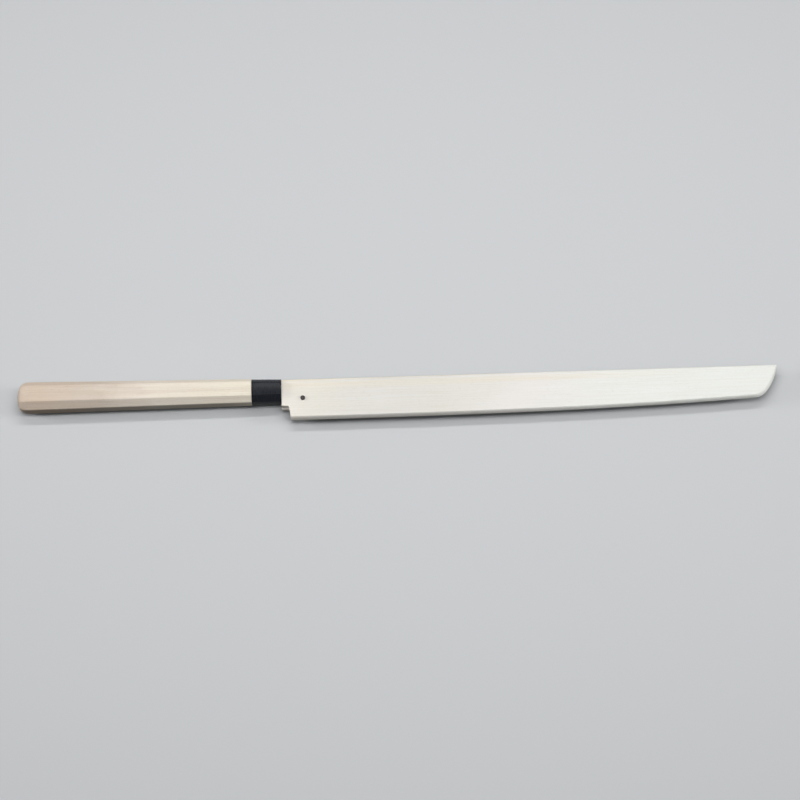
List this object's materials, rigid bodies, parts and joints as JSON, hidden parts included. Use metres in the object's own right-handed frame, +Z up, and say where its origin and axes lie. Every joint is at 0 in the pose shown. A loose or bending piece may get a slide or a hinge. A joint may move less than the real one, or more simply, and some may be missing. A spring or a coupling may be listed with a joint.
{
  "type": "tuna knife",
  "caption": "Long single-bevel tuna slicing knife with an octagonal wooden handle and black horn ferrule, lying in its pale wooden sheath with a locking pin.",
  "frame": {"origin": "under the middle of the whole sheathed knife, at the height of the lowest point of the handle", "axes": "+X along the blade's spine towards the point, +Y towards the spine, +Z up, square to the sheath's broad faces"},
  "size_m": [0.8856, 0.056, 0.0269],
  "materials": {
    "steel": "satin, stone ground",
    "handle_wood": "bare magnolia wood, sanded",
    "horn": "black buffalo horn, satin polish",
    "resin": "dark resin, matte",
    "sheath_wood": "bare magnolia wood, planed",
    "ebony": "turned ebony, oiled"
  },
  "bodies": {
    "knife": {"blade": "steel", "handle_body": "handle_wood", "ferrule": "horn", "neck_seal": "resin"},
    "sheath": {"sheath_front_wall": "sheath_wood", "sheath_front_rim": "sheath_wood", "sheath_back_wall": "sheath_wood", "sheath_back_rim": "sheath_wood"},
    "pin": {"sheath_pin": "ebony"}
  },
  "joints": [
    {"name": "saya_draw", "type": "slide", "parent": "knife", "child": "sheath", "axis": [1, 0, 0], "range_m": [0, 0.58]},
    {"name": "pin_pull", "type": "slide", "parent": "sheath", "child": "pin", "axis": [0, 0, 1], "range_m": [0, 0.03]}
  ]
}
